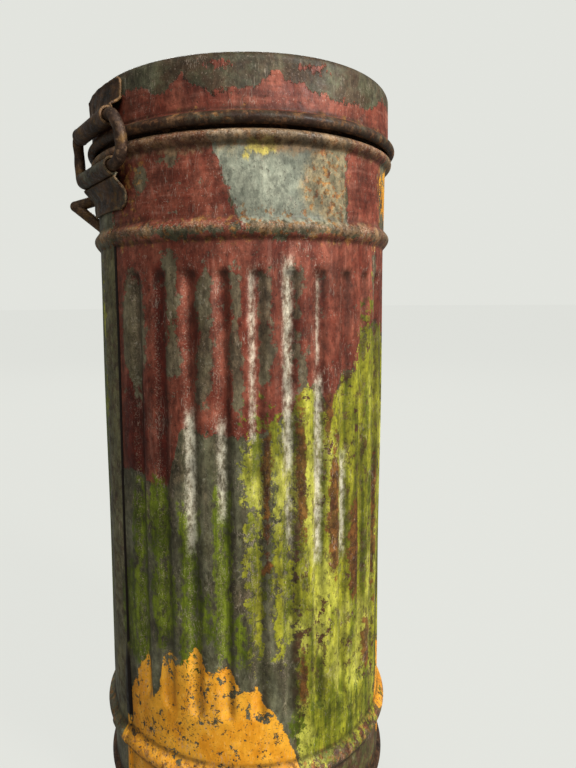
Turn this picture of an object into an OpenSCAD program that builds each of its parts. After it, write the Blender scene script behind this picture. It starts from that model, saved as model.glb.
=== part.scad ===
// Fluted sheet-steel carrying canister with a link-hinged lid, a hasp, strap loops,
// a sprung rest plate in the bottom and a spare-lens compartment in the lid.
// Millimetres. +Z is up, the base stands on z = 0, the hinge is at +Y and the hasp at -Y.

/* [Body] */
// Outside radius of the fluted wall
body_r = 58; // [56:0.5:60]
// Height from the floor to the top of the closed lid
total_h = 275; // [270:1:285]
// Thickness of the sheet steel
sheet = 0.8; // [0.6:0.1:1]
// Outside radius of the band above the upper bead
neck_r = 58.2; // [58:0.1:58.4]
// Outside radius of the band below the bottom bead
foot_r = 58.6; // [58.2:0.1:58.8]
// Outside radius of the mouth that rises inside the lid
mouth_r = 57.2; // [56.8:0.1:57.4]
// Height of the mouth's edge above the floor
mouth_z = 262.5; // [260:0.5:263]

/* [Beads] */
// Height of the bottom bead's middle
low_bead_z = 27.4; // [24:0.2:30]
// How far the bottom bead's section reaches from its middle
low_bead_r = 2.8; // [2:0.1:3]
// Height of the upper bead's middle
high_bead_z = 220.4; // [218:0.2:222]
// How far the upper bead's section reaches from its middle
high_bead_r = 2.4; // [2:0.1:2.6]
// Height of the stop bead's middle, under the lid's edge
stop_bead_z = 249.2; // [248:0.2:250]
// How far the stop bead's section reaches from its middle
stop_bead_r = 1.8; // [1.5:0.1:2]

/* [Flutes] */
// Number of flute places round the body, two of which the seam takes
flute_places = 32; // [24:2:36]
// Depth of a flute
flute_depth = 1.3; // [0.6:0.1:1.5]
// Radius of a flute's round section
flute_r = 3.6; // [3:0.1:4]
// Height of the flutes' lower ends
flute_low = 48.5; // [48:0.5:60]
// Height of the flutes' upper ends
flute_high = 208; // [190:1:210]
// Half the angle that the lapped seam takes
seam_half = 6; // [4:0.5:7]
// How far the lapped seam stands proud
seam_t = 0.6; // [0.4:0.1:0.8]

/* [Lid] */
// Outside radius of the lid's skirt
lid_r = 59; // [58.9:0.05:59.2]
// Radius of the lid's top edge
lid_edge = 2.7; // [2:0.1:3.2]
// Height of the middle of the skirt's rolled edge
lid_bead_z = 254; // [254:0.1:254.2]
// How far the rolled edge reaches from its middle
lid_bead_r = 1.9; // [1.6:0.1:1.9]

/* [Hinge] */
// Distance of the lid's hinge bar from the can's axis
lid_bar_y = 62.25; // [62.2:0.05:62.6]
// Height of the lid's hinge bar
lid_bar_z = 259.2; // [259.1:0.1:259.6]
// Distance of the body's hinge bar from the can's axis
body_bar_y = 61.4; // [61.3:0.05:61.6]
// Height of the body's hinge bar
body_bar_z = 243.1; // [242.8:0.1:243.4]
// Radius of the link's wire
link_wire = 2.05; // [1.9:0.05:2.1]
// Half the distance between the link's two sides
link_half = 18.3; // [18:0.1:19]
// How much wider the link is between its bars, on each side
link_swell = 3.6; // [3:0.1:4]
// How far out the link's sides stand, measured straight from the axis
link_side_y = 60.6; // [60.4:0.1:62]
// Half the width of the hinge plates
plate_half = 15.6; // [14:0.1:16]
// Height of a hinge plate beyond its bar
plate_len = 13.5; // [12:0.5:14.5]
// Half the length of the rolled barrels
barrel_half = 15; // [13:0.1:16]

/* [Strap loops] */
// Radius of the strap loops' wire
loop_wire = 2.2; // [1.8:0.1:2.3]
// Distance of the loops' bend from the can's axis
loop_reach = 70.2; // [68:0.1:74]
// Height between the feet of a loop
loop_h = 14; // [13:0.5:14]
// Height of the two upper loops' middle
loop_high_z = 234; // [233.8:0.1:235]
// Height of the lower loop's middle
loop_low_z = 40; // [39.8:0.1:41]
// Angle of the upper loops to either side of the lower one
loop_spread = 55; // [45:1:56]

/* [Hasp] */
// Height of the hasp's pin
hasp_pin_z = 260; // [259.8:0.1:260.4]
// Distance of the hasp's pin from the can's axis
hasp_pin_y = 62.2; // [62.1:0.1:62.6]
// Width of the hasp
hasp_w = 14; // [12:0.5:16]
// Length of the hasp from its pin to its rolled end
hasp_len = 27; // [26:0.5:28]
// Angle at which the freed hasp rests against the catch
hasp_lean = 9; // [8:0.5:12]

/* [Inside] */
// Outside radius of the sprung rest plate
rest_r = 54; // [50:0.5:54.5]
// Height of the rest plate
rest_z = 37; // [34:0.5:40]
// Mean radius of the coil spring
spring_r = 30; // [26:1:34]
// Outside radius of the spare-lens cup in the lid
cup_r = 38; // [34:0.5:39]
// Depth of the spare-lens cup
cup_h = 12; // [10:0.5:12]

/* [Hidden] */

$fn = 96;
eps = 0.01;
fit = 0.05;              // radial running clearance of every pin in its barrel
elbow = 0.06;            // how much fuller a wire is at its bends
flute_step = 360 / flute_places;
low_bead_c = 61.1 - low_bead_r;
high_bead_c = 60.3 - high_bead_r;
stop_bead_c = 60.5 - stop_bead_r;
lid_bead_c = 61.6 - lid_bead_r;
rim_r = 2.7;             // rolled rim under the body
rim_c = 57.6;
barrel_r = link_wire + fit + sheet + 0.1;
shoulder_len = 5;        // how far the hinge plates' straight shoulders reach
lid_under = total_h - sheet;

// A ring of round section, hollow like pressed sheet, in the profile plane
module bead_section(centre, z, reach) {
    translate([centre, z]) circle(r = reach);
}

// The wall of a band between two heights, in the profile plane
module band(outer, low, high) {
    translate([outer - sheet, low]) square([sheet, high - low]);
}

// A curved plate lying on a drum of the given radius, centred on angle 0
module curved_plate(inner, outer, half_angle, low, high) {
    rotate([0, 0, -half_angle])
        rotate_extrude(angle = 2 * half_angle)
            translate([inner, low]) square([outer - inner, high - low]);
}

// A straight wire between two points in the YZ plane, x given, with round ends
module wire_run(from, to, radius, x) {
    span = to - from;
    translate([x, from[0], from[1]])
        rotate([-atan2(span[0], span[1]), 0, 0])
            cylinder(r = radius, h = norm(span));
    translate([x, to[0], to[1]]) sphere(r = radius + elbow, $fn = 32);
}

// A round bar along X
module bar_x(y, z, radius, half) {
    translate([-half, y, z]) rotate([0, 90, 0]) cylinder(r = radius, h = 2 * half);
}

// ---- body ----

module body_section() {
    difference() {
        union() {
            band(foot_r, 2 * rim_r + 0.03, low_bead_z);
            band(body_r, low_bead_z, high_bead_z);
            band(neck_r, high_bead_z, stop_bead_z);
            band(mouth_r, stop_bead_z, mouth_z);
            bead_section(low_bead_c, low_bead_z, low_bead_r);
            bead_section(high_bead_c, high_bead_z, high_bead_r);
            bead_section(stop_bead_c, stop_bead_z, stop_bead_r);
        }
        bead_section(low_bead_c, low_bead_z, low_bead_r - sheet);
        bead_section(high_bead_c, high_bead_z, high_bead_r - sheet);
        bead_section(stop_bead_c, stop_bead_z, stop_bead_r - sheet);
        translate([0, 5]) square([foot_r - sheet, low_bead_z - low_bead_r - 5]);
        translate([0, 20]) square([body_r - sheet, high_bead_z - 20]);
        translate([0, high_bead_z - 1]) square([neck_r - sheet, 20]);
    }
}

// One flute's round-ended bar, reaching from its lower to its upper end, at angle 0
module flute_bar(radius) {
    length = flute_high - flute_low - 2 * flute_r;
    translate([body_r + flute_r - flute_depth, 0, flute_low + flute_r])
        rotate_extrude($fn = 32)
            intersection() {
                union() {
                    square([radius, length]);
                    circle(r = radius);
                    translate([0, length]) circle(r = radius);
                }
                translate([0, -radius]) square([radius, length + 2 * radius]);
            }
}

module at_flutes() {
    for (i = [1 : flute_places - 2])
        rotate([0, 0, 90 + (i + 0.5) * flute_step]) children();
}

module flute_backs() {
    intersection() {
        at_flutes() flute_bar(flute_r + sheet);
        cylinder(r = body_r - 0.1, h = total_h);
    }
}

// Part of a bead's section that the seam's lap lies on
module lap_on_bead(centre, z, reach) {
    difference() {
        translate([centre, z]) circle(r = reach + seam_t);
        translate([centre, z]) circle(r = reach - sheet / 2);
        translate([0, z - 10]) square([body_r - sheet / 2, 20]);
    }
}

// The overlapping edge of the wall's sheet, below the hinge plate
module seam_lap() {
    lap_low = 8;
    lap_high = body_bar_z - plate_len - 0.4;
    root = sheet / 2;
    rotate([0, 0, 90 - seam_half])
        rotate_extrude(angle = 2 * seam_half) {
            translate([foot_r - root, lap_low])
                square([seam_t + root, low_bead_z - low_bead_r - lap_low + 0.5]);
            translate([body_r - root, low_bead_z + low_bead_r - 0.5])
                square([seam_t + root, high_bead_z - low_bead_z - low_bead_r - high_bead_r + 1]);
            translate([neck_r - root, high_bead_z + high_bead_r - 0.5])
                square([seam_t + root, lap_high - high_bead_z - high_bead_r + 0.5]);
            lap_on_bead(low_bead_c, low_bead_z, low_bead_r);
            lap_on_bead(high_bead_c, high_bead_z, high_bead_r);
        }
}

module body_shell() {
    color("#5d5a3c")
        difference() {
            union() {
                rotate_extrude() body_section();
                flute_backs();
                seam_lap();
            }
            at_flutes() flute_bar(flute_r);
        }
}

// Pressed bottom: a flat land in the middle, a raised ring, and a rolled rim
module base_pan() {
    land_r = 44;
    color("#4a4133")
        rotate_extrude() {
            square([land_r, sheet]);
            translate([land_r - sheet, 0]) square([sheet, 2.4]);
            translate([land_r - sheet, 1.6]) square([12.5, sheet]);
            difference() {
                translate([rim_c, rim_r]) circle(r = rim_r);
                translate([rim_c, rim_r]) circle(r = rim_r - sheet);
            }
            difference() {
                translate([foot_r - 2 * sheet, 4.6]) square([sheet, 7.4]);
                translate([rim_c, rim_r]) circle(r = rim_r - sheet);
            }
        }
}

// ---- lid ----

module lid_section() {
    corner = lid_r - lid_edge;
    difference() {
        union() {
            translate([0, lid_under]) square([corner, sheet]);
            intersection() {
                translate([corner, total_h - lid_edge]) circle(r = lid_edge);
                translate([corner, total_h - lid_edge]) square(lid_edge);
            }
            band(lid_r, lid_bead_z, total_h - lid_edge);
            bead_section(lid_bead_c, lid_bead_z, lid_bead_r);
        }
        translate([corner, total_h - lid_edge]) circle(r = lid_edge - sheet);
        bead_section(lid_bead_c, lid_bead_z, lid_bead_r - sheet);
        translate([0, 240]) square([lid_r - sheet, 20]);
    }
}

module lid_shell() {
    color("#6b4238") rotate_extrude() lid_section();
}

// ---- hinge ----

// Plate on a drum, a shoulder and a barrel rolled round the link's bar; side is 1 for
// a plate that reaches up from its barrel and -1 for one that reaches down
module hinge_plate(drum, bar_y, bar_z, side) {
    near = min(side * shoulder_len, side);
    far = min(side * plate_len, side);
    difference() {
        union() {
            rotate([0, 0, 90])
                curved_plate(drum - 1, drum + 1, asin(plate_half / drum),
                    bar_z + far, bar_z + far + plate_len - 1);
            translate([-barrel_half, drum - 5, bar_z + near])
                cube([2 * barrel_half, bar_y - drum + 4, shoulder_len - 1]);
            bar_x(bar_y, bar_z, barrel_r, barrel_half);
        }
        cylinder(r = drum, h = total_h + 10, $fn = 180);
        bar_x(bar_y, bar_z, link_wire + fit, barrel_half + 1);
    }
}

module lid_hinge_plate() {
    color("#4b3a2e") hinge_plate(lid_r, lid_bar_y, lid_bar_z, 1);
}

module body_hinge_plate() {
    color("#55493a") hinge_plate(neck_r, body_bar_y, body_bar_z, -1);
}

// A straight wire between two points in space, with a round end
module wire_between(from, to, radius) {
    span = to - from;
    translate(from)
        rotate([0, acos(span[2] / norm(span)), atan2(span[1], span[0])])
            cylinder(r = radius, h = norm(span));
    translate(to) sphere(r = radius + elbow, $fn = 32);
}

// Closed wire link: two bars in the barrels, and two sides that swell out round the beads
module hinge_link() {
    color("#4a3527") {
        bar_x(body_bar_y, body_bar_z, link_wire, link_half);
        bar_x(lid_bar_y, lid_bar_z, link_wire, link_half);
        for (side = [-1, 1]) {
            low = [side * link_half, body_bar_y, body_bar_z];
            high = [side * link_half, lid_bar_y, lid_bar_z];
            swell_low = [side * (link_half + link_swell), link_side_y - 0.1, 248.5];
            swell_high = [side * (link_half + link_swell), link_side_y + 0.2, 254.2];
            translate(low) sphere(r = link_wire + elbow, $fn = 32);
            wire_between(low, swell_low, link_wire);
            wire_between(swell_low, swell_high, link_wire);
            wire_between(swell_high, high, link_wire);
        }
    }
}

// ---- strap loops ----

// A V of wire standing out from a drum, its two feet on the plate, at angle 0
module strap_loop(drum, z) {
    apex_z = z + 0.25 * loop_h;
    foot = drum - 1;
    difference() {
        rotate([0, 0, -90]) {
            wire_run([foot, z - loop_h / 2], [loop_reach, apex_z], loop_wire, 0);
            wire_run([loop_reach, apex_z], [foot, z + loop_h / 2], loop_wire, 0);
        }
        rotate([0, 0, 90]) cylinder(r = drum + 1, h = total_h);
    }
}

module loop_plate(drum, z) {
    color("#50462f")
        curved_plate(drum, drum + 1, 5, z - loop_h / 2 - 2.5, z + loop_h / 2 + 2.5);
}

module strap_loop_left() { color("#3a2f27") rotate([0, 0, loop_spread]) strap_loop(neck_r, loop_high_z); }
module strap_loop_right() { color("#3a2f27") rotate([0, 0, -loop_spread]) strap_loop(neck_r, loop_high_z); }
module strap_loop_low() { color("#3a2f27") strap_loop(body_r, loop_low_z); }
module loop_plate_left() { rotate([0, 0, loop_spread]) loop_plate(neck_r, loop_high_z); }
module loop_plate_right() { rotate([0, 0, -loop_spread]) loop_plate(neck_r, loop_high_z); }
module loop_plate_low() { loop_plate(body_r, loop_low_z); }

// ---- hasp, at -Y ----

pin_r = 1.25;
knuckle_r = pin_r + fit + sheet;
ear_w = 3.2;
eye_wire = 1.05;
eye_r = eye_wire + fit + sheet;

// Plate on the lid with two ears that hold the pin
module hasp_bracket() {
    color("#4b3a2e")
        difference() {
            union() {
                rotate([0, 0, -90])
                    curved_plate(lid_r - 1, lid_r + 1, asin(8.4 / lid_r),
                        hasp_pin_z + 1, hasp_pin_z + 11);
                for (x = [-hasp_w / 2 - 1.4, hasp_w / 2 - ear_w + 1.4]) {
                    translate([x, -hasp_pin_y, hasp_pin_z])
                        rotate([0, 90, 0]) cylinder(r = knuckle_r, h = ear_w);
                    translate([x, -hasp_pin_y, hasp_pin_z - knuckle_r + 1])
                        cube([ear_w, 6, knuckle_r + 2]);
                }
            }
            cylinder(r = lid_r, h = total_h, $fn = 180);
            bar_x(-hasp_pin_y, hasp_pin_z, pin_r, hasp_w);
        }
}

module hasp_pin() {
    color("#6a6156") {
        bar_x(-hasp_pin_y, hasp_pin_z, pin_r, hasp_w / 2 + 1.4);
        for (side = [-1, 1])
            translate([side * (hasp_w / 2 + 1.7), -hasp_pin_y, hasp_pin_z])
                rotate([0, 90, 0]) cylinder(r = pin_r + 0.7, h = 0.6, center = true);
    }
}

// Strip with a knuckle, a window for the nose and a rolled eye, hanging straight down
module hasp_strip() {
    knuckle_half = hasp_w / 2 + 1.4 - ear_w - 0.2;
    face_y = -hasp_pin_y - knuckle_r;
    difference() {
        union() {
            bar_x(-hasp_pin_y, hasp_pin_z, knuckle_r, knuckle_half);
            translate([-knuckle_half, face_y, hasp_pin_z - 4])
                cube([2 * knuckle_half, 1, 4]);
            translate([-hasp_w / 2, face_y, hasp_pin_z - hasp_len])
                cube([hasp_w, 1, hasp_len - 3.5]);
            bar_x(face_y + eye_r, hasp_pin_z - hasp_len, eye_r, hasp_w / 2);
        }
        bar_x(-hasp_pin_y, hasp_pin_z, pin_r + fit, hasp_w);
        bar_x(face_y + eye_r, hasp_pin_z - hasp_len, eye_wire + fit, hasp_w);
        translate([-3.6, face_y - 1, hasp_pin_z - 21.5]) cube([7.2, 3, 6.6]);
    }
}

module hasp_leaned() {
    translate([0, -hasp_pin_y, hasp_pin_z])
        rotate([-hasp_lean, 0, 0])
            translate([0, hasp_pin_y, -hasp_pin_z]) children();
}

module hasp() { color("#5a4a3c") hasp_leaned() hasp_strip(); }

// Wire pull loop hanging from the hasp's rolled eye
module pull_loop() {
    half = hasp_w / 2 + 1.6;
    eye = [-hasp_pin_y - knuckle_r + eye_r, hasp_pin_z - hasp_len];
    color("#6a6156")
        hasp_leaned() {
            bar_x(eye[0], eye[1], eye_wire, half);
            bar_x(eye[0], eye[1] - 10, eye_wire, half - 2.5);
            for (side = [-1, 1]) {
                translate([side * half, eye[0], eye[1]]) sphere(r = eye_wire, $fn = 32);
                translate([side * half, eye[0], eye[1] - 7.5]) sphere(r = eye_wire, $fn = 32);
                translate([side * half, eye[0], eye[1] - 7.5]) cylinder(r = eye_wire, h = 7.5);
                translate([side * (half - 2.5), eye[0], eye[1] - 10]) sphere(r = eye_wire, $fn = 32);
                translate([side * half, eye[0], eye[1] - 7.5])
                    rotate([0, side * 225, 0]) cylinder(r = eye_wire, h = 2.5 * sqrt(2));
            }
        }
}

module catch_plate() {
    color("#55493a")
        rotate([0, 0, -90])
            curved_plate(neck_r, neck_r + 1, asin(10 / neck_r), 232, 246);
}

// Round-fronted nose that the hasp's window drops over
module catch_nose() {
    color("#6a6156")
        difference() {
            intersection() {
                translate([-2.9, -66, 239.2]) cube([5.8, 10, 4.4]);
                translate([0, 0, 241.4]) rotate([0, 90, 0])
                    translate([0, -59.4, -5]) cylinder(r = 5.4, h = 10);
            }
            cylinder(r = neck_r + 1, h = total_h);
        }
}

module catch_rivets() {
    color("#6a6156")
        for (x = [-7.4, 7.4])
            difference() {
                translate([x, -50, 239]) rotate([90, 0, 0]) cylinder(r = 2, h = 10.4);
                cylinder(r = neck_r + 1, h = total_h, $fn = 360);
            }
}

// ---- inside the body ----

spring_wire = 1.3;
spring_turns = 4;
seat_top = 3.4;

module spring_seat() {
    color("#6a6156")
        difference() {
            translate([0, 0, sheet]) cylinder(r = spring_r + 4, h = seat_top - sheet);
            translate([0, 0, 0]) cylinder(r = spring_r - 4.6, h = seat_top + 1);
            translate([0, 0, sheet + 1]) cylinder(r = spring_r + 3, h = seat_top);
        }
}

// Coil of round wire swept along a helix
helix_steps = 24;
helix_sides = 8;
coil_low = sheet + 1 + spring_wire + 0.05;
coil_high = rest_z - spring_wire - 0.05;
function helix_ring(i) =
    let (a = 360 * i / helix_steps, last = spring_turns * helix_steps,
         z = coil_low + (coil_high - coil_low) * i / last)
    [for (k = [0 : helix_sides - 1])
        let (b = 360 * k / helix_sides, r = spring_r + spring_wire * cos(b))
        [r * cos(a), r * sin(a), z + spring_wire * sin(b)]];

module base_spring() {
    rings = spring_turns * helix_steps;
    points = [for (i = [0 : rings]) each helix_ring(i)];
    sides = [for (i = [0 : rings - 1], k = [0 : helix_sides - 1])
        let (a = i * helix_sides + k, b = i * helix_sides + (k + 1) % helix_sides)
        each [[a, b, a + helix_sides], [b, b + helix_sides, a + helix_sides]]];
    start = [for (k = [helix_sides - 1 : -1 : 0]) k];
    end = [for (k = [0 : helix_sides - 1]) rings * helix_sides + k];
    color("#7a7366") polyhedron(points = points, faces = concat(sides, [start], [end]));
}

// Perforated plate with a turned-down rim
module rest_plate() {
    color("#6f675a")
        difference() {
            union() {
                translate([0, 0, rest_z]) cylinder(r = rest_r, h = sheet);
                difference() {
                    translate([0, 0, rest_z - 5]) cylinder(r = rest_r, h = 5 + sheet);
                    translate([0, 0, rest_z - 6]) cylinder(r = rest_r - sheet, h = 6.5);
                }
            }
            for (i = [0 : 7])
                rotate([0, 0, 45 * i]) translate([41, 0, rest_z - 1]) cylinder(r = 5, h = 3);
            for (i = [0 : 5])
                rotate([0, 0, 60 * i]) translate([20, 0, rest_z - 1]) cylinder(r = 4, h = 3);
            translate([0, 0, rest_z - 1]) cylinder(r = 6, h = 3);
        }
}

// ---- spare-lens compartment ----

cup_low = lid_under - cup_h;
cover_hinge_y = cup_r + 3.6;
cover_hinge_z = cup_low - sheet / 2;
lens_pin_r = 0.9;
lens_knuckle_r = lens_pin_r + fit + 0.7;

module lens_cup() {
    color("#5d5a4a")
        difference() {
            translate([0, 0, cup_low]) cylinder(r = cup_r, h = cup_h);
            translate([0, 0, cup_low - 1]) cylinder(r = cup_r - sheet, h = cup_h + 1 - sheet);
            translate([0, 0, cup_low]) cylinder(r = cup_r - 6, h = cup_h + 1);
        }
}

// Hinged cover with a knuckle at +Y and a thumb tab at -Y
module lens_cover() {
    color("#6f675a")
        difference() {
            union() {
                translate([0, 0, cup_low - sheet - 0.1]) cylinder(r = cup_r + 0.6, h = sheet);
                translate([-5, -cup_r - 4.6, cup_low - sheet - 0.1]) cube([10, 8, sheet]);
                translate([-4.4, cup_r - 2, cup_low - sheet - 0.1]) cube([8.8, 5.6, sheet]);
                bar_x(cover_hinge_y, cover_hinge_z, lens_knuckle_r, 4.4);
                translate([0, 0, cup_low - sheet - 0.7]) cylinder(r = 22, h = sheet);
            }
            bar_x(cover_hinge_y, cover_hinge_z, lens_pin_r + fit, 6);
        }
}

module lens_hinge_leaf() {
    color("#5d5a4a")
        difference() {
            union() {
                translate([-10, cup_r + 5.2, lid_under - 8.7]) cube([20, sheet, 8.7]);
                translate([-10, cup_r + 0.6, lid_under - sheet]) cube([20, 5, sheet]);
                for (x = [-10, 4.6]) {
                    translate([x, cover_hinge_y, cover_hinge_z])
                        rotate([0, 90, 0]) cylinder(r = lens_knuckle_r, h = 5.4);
                    translate([x, cover_hinge_y, cover_hinge_z])
                        cube([5.4, lens_knuckle_r + 0.75, 4]);
                }
            }
            bar_x(cover_hinge_y, cover_hinge_z, lens_pin_r, 12);
        }
}

module lens_hinge_pin() {
    color("#8a8272") {
        bar_x(cover_hinge_y, cover_hinge_z, lens_pin_r, 10.4);
        for (side = [-1, 1])
            translate([side * 10.3, cover_hinge_y, cover_hinge_z])
                rotate([0, 90, 0]) cylinder(r = lens_pin_r + 0.4, h = 0.5, center = true);
    }
}

// Leaf spring that grips the cover's tab by its edge
module lens_clip() {
    color("#8a8272") {
        translate([-4, -cup_r - 5.6, cup_low - 3]) cube([8, 0.8, cup_h + 3]);
        translate([-4, -cup_r - 5.6, lid_under - 0.8]) cube([8, 4.6, 0.8]);
    }
}

module spare_lenses() {
    color([0.8, 0.82, 0.75, 0.4])
        for (i = [0 : 1])
            translate([0, 0, cup_low + 0.05 + 1.6 * i]) cylinder(r = cup_r - 4, h = 1.2);
}

body_shell();
base_pan();
lid_shell();
lid_hinge_plate();
body_hinge_plate();
hinge_link();
loop_plate_left();
strap_loop_left();
loop_plate_right();
strap_loop_right();
loop_plate_low();
strap_loop_low();
hasp_bracket();
hasp_pin();
hasp();
pull_loop();
catch_plate();
catch_nose();
catch_rivets();
spring_seat();
base_spring();
rest_plate();
lens_cup();
lens_cover();
lens_hinge_leaf();
lens_hinge_pin();
lens_clip();
spare_lenses();
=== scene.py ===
import math
import bpy
import numpy as np
from mathutils import Matrix, Vector


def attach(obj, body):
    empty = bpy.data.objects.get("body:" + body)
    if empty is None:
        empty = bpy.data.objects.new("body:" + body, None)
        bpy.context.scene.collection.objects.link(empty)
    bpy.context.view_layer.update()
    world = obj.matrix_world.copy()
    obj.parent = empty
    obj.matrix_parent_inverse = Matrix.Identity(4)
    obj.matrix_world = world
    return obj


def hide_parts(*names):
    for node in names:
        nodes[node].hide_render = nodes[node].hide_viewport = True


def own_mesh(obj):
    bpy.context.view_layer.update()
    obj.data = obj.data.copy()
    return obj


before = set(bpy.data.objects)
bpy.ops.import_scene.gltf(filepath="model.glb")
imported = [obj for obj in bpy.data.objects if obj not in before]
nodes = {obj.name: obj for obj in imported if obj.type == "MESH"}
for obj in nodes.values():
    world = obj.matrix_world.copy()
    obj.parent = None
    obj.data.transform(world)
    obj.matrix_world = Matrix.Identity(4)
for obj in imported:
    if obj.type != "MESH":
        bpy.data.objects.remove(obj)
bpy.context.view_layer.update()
MM = 0.001
SIGHT = 147.25  # angle round the can, anticlockwise from +X, that faces the camera


# ---------------------------------------------------------------- camera
def aim_camera():
    """The photograph's camera: close to the can, a little below its lid, looking slightly down."""
    distance, height = 0.2454, 0.19625
    yaw, pitch, roll = -0.0061, -0.1072, -0.0096
    cy, sy = math.cos(yaw), math.sin(yaw)
    cp, sp = math.cos(pitch), math.sin(pitch)
    cr, sr = math.cos(roll), math.sin(roll)
    turn = Matrix(((cy, sy, 0), (-sy, cy, 0), (0, 0, 1)))
    tilt = Matrix(((1, 0, 0), (0, cp, sp), (0, -sp, cp)))
    lean = Matrix(((cr, 0, sr), (0, 1, 0), (-sr, 0, cr)))
    rows = lean @ tilt @ turn
    right, forward, up = rows[0], rows[1], rows[2]
    round_can = Matrix.Rotation(math.radians(SIGHT - 270), 3, "Z")
    axes = [round_can @ Vector(v) for v in (right, up, [-c for c in forward])]
    place = round_can @ Vector((0, -distance, height))
    data = bpy.data.cameras.new("photo_camera")
    data.lens = 26.8
    data.sensor_width = 36
    data.shift_x = 0.0539
    data.shift_y = -0.0251
    data.clip_start = 0.01
    data.clip_end = 60
    camera = bpy.data.objects.new("photo_camera", data)
    bpy.context.scene.collection.objects.link(camera)
    m = Matrix.Identity(4)
    for i, axis in enumerate(axes):
        for j in range(3):
            m[j][i] = axis[j]
    m.translation = place
    camera.matrix_world = m
    bpy.context.scene.camera = camera


def around(theta, distance, height):
    """A point at an angle to the right of the camera's line, as seen from the can's axis."""
    a = math.radians(SIGHT + theta)
    return Vector((distance * math.cos(a), distance * math.sin(a), height))


# ---------------------------------------------------------------- shader helper
class Shader:
    def __init__(self, name):
        self.mat = bpy.data.materials.new(name)
        self.mat.use_nodes = True
        self.tree = self.mat.node_tree
        self.tree.nodes.clear()
        out = self.new("OutputMaterial")
        self.bsdf = self.new("BsdfPrincipled")
        self.tree.links.new(self.bsdf.outputs[0], out.inputs[0])
        self.place = self.new("TexCoord").outputs["Object"]

    def new(self, kind):
        return self.tree.nodes.new("ShaderNode" + kind)

    def put(self, socket, value):
        if isinstance(value, bpy.types.NodeSocket):
            self.tree.links.new(value, socket)
        else:
            socket.default_value = value

    def math(self, op, a, b=0.0, clamp=False):
        n = self.new("Math")
        n.operation = op
        n.use_clamp = clamp
        self.put(n.inputs[0], a)
        self.put(n.inputs[1], b)
        return n.outputs[0]

    def noise(self, scale, detail=3.0, rough=0.55, stretch=None, shift=None, distort=0.0):
        n = self.new("TexNoise")
        place = self.place
        if stretch or shift:
            m = self.new("Mapping")
            self.put(m.inputs[0], self.place)
            if stretch:
                m.inputs["Scale"].default_value = stretch
            if shift:
                m.inputs["Location"].default_value = (shift, shift * 0.7, shift * 1.3)
            place = m.outputs[0]
        self.put(n.inputs["Vector"], place)
        n.inputs["Scale"].default_value = scale
        n.inputs["Detail"].default_value = detail
        n.inputs["Roughness"].default_value = rough
        n.inputs["Distortion"].default_value = distort
        return n.outputs["Fac"]

    def step(self, v, low, high, to_low=0.0, to_high=1.0):
        n = self.new("MapRange")
        n.interpolation_type = "SMOOTHSTEP"
        self.put(n.inputs["Value"], v)
        n.inputs["From Min"].default_value = low
        n.inputs["From Max"].default_value = high
        n.inputs["To Min"].default_value = to_low
        n.inputs["To Max"].default_value = to_high
        return n.outputs["Result"]

    def mix(self, share, a, b):
        n = self.new("Mix")
        n.data_type = "RGBA"
        self.put(n.inputs[0], share)
        self.put(n.inputs[6], a if isinstance(a, bpy.types.NodeSocket) else (*a, 1))
        self.put(n.inputs[7], b if isinstance(b, bpy.types.NodeSocket) else (*b, 1))
        return n.outputs[2]

    def scale(self, colour, by):
        n = self.new("VectorMath")
        n.operation = "SCALE"
        self.put(n.inputs[0], colour)
        self.put(n.inputs["Scale"], by)
        return n.outputs[0]

    def field(self, name):
        n = self.new("Attribute")
        n.attribute_name = name
        return n.outputs["Fac"]

    def ragged(self, field, coarse, fine, big, small, edge=0.35):
        """A field in millimetres turned to a mask whose edge wanders by the two noises."""
        v = self.math("ADD", field, self.math("MULTIPLY", self.math("SUBTRACT", coarse, 0.5), big))
        v = self.math("ADD", v, self.math("MULTIPLY", self.math("SUBTRACT", fine, 0.5), small))
        return self.step(v, -edge, edge)

    def bump(self, height, depth, strength=1.0, after=None):
        n = self.new("Bump")
        n.inputs["Strength"].default_value = strength
        n.inputs["Distance"].default_value = depth
        self.put(n.inputs["Height"], height)
        if after is not None:
            self.put(n.inputs["Normal"], after)
        return n.outputs[0]

    def scratches(self, turn, scale, sparse, seed):
        """Thin light lines: the middle level of a long-drawn noise, kept in a few places."""
        m = self.new("Mapping")
        self.put(m.inputs[0], self.place)
        m.inputs["Rotation"].default_value = turn
        m.inputs["Scale"].default_value = (1.0, 1.0, 0.22)
        m.inputs["Location"].default_value = (seed, seed, seed)
        n = self.new("TexNoise")
        self.put(n.inputs["Vector"], m.outputs[0])
        n.inputs["Scale"].default_value = scale
        n.inputs["Detail"].default_value = 2.0
        line = self.math("ABSOLUTE", self.math("SUBTRACT", n.outputs["Fac"], 0.5))
        line = self.step(line, 0.004, 0.012, 1.0, 0.0)
        kept = self.step(self.noise(90, 2.0, 0.5, shift=seed + 3.1), sparse, sparse + 0.06)
        return self.math("MULTIPLY", line, kept)


# ---------------------------------------------------------------- paint layout
def turn_of(theta):
    """Angles brought to -180 .. 180."""
    return (theta + 180.0) % 360.0 - 180.0


def blob(theta, z, at, size):
    """Distance inside an upright oval in millimetres: at is (angle, height), size half widths.
    Ovals beyond the camera's side get a lobed outline."""
    dx = turn_of(theta - at[0]) * 1.015
    dz = z - at[1]
    rho = np.sqrt((dx / (size[0] * 1.015)) ** 2 + (dz / size[1]) ** 2)
    if abs(turn_of(at[0])) > 79:
        around_it = np.arctan2(dz / size[1], dx / size[0])
        rho = rho * (1 + 0.20 * np.sin(3 * around_it + at[0]) + 0.13 * np.sin(5 * around_it + at[1])
                     + 0.07 * np.sin(9 * around_it + at[0] + at[1]))
    return (1.0 - rho) * min(size[0], size[1])


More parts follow.
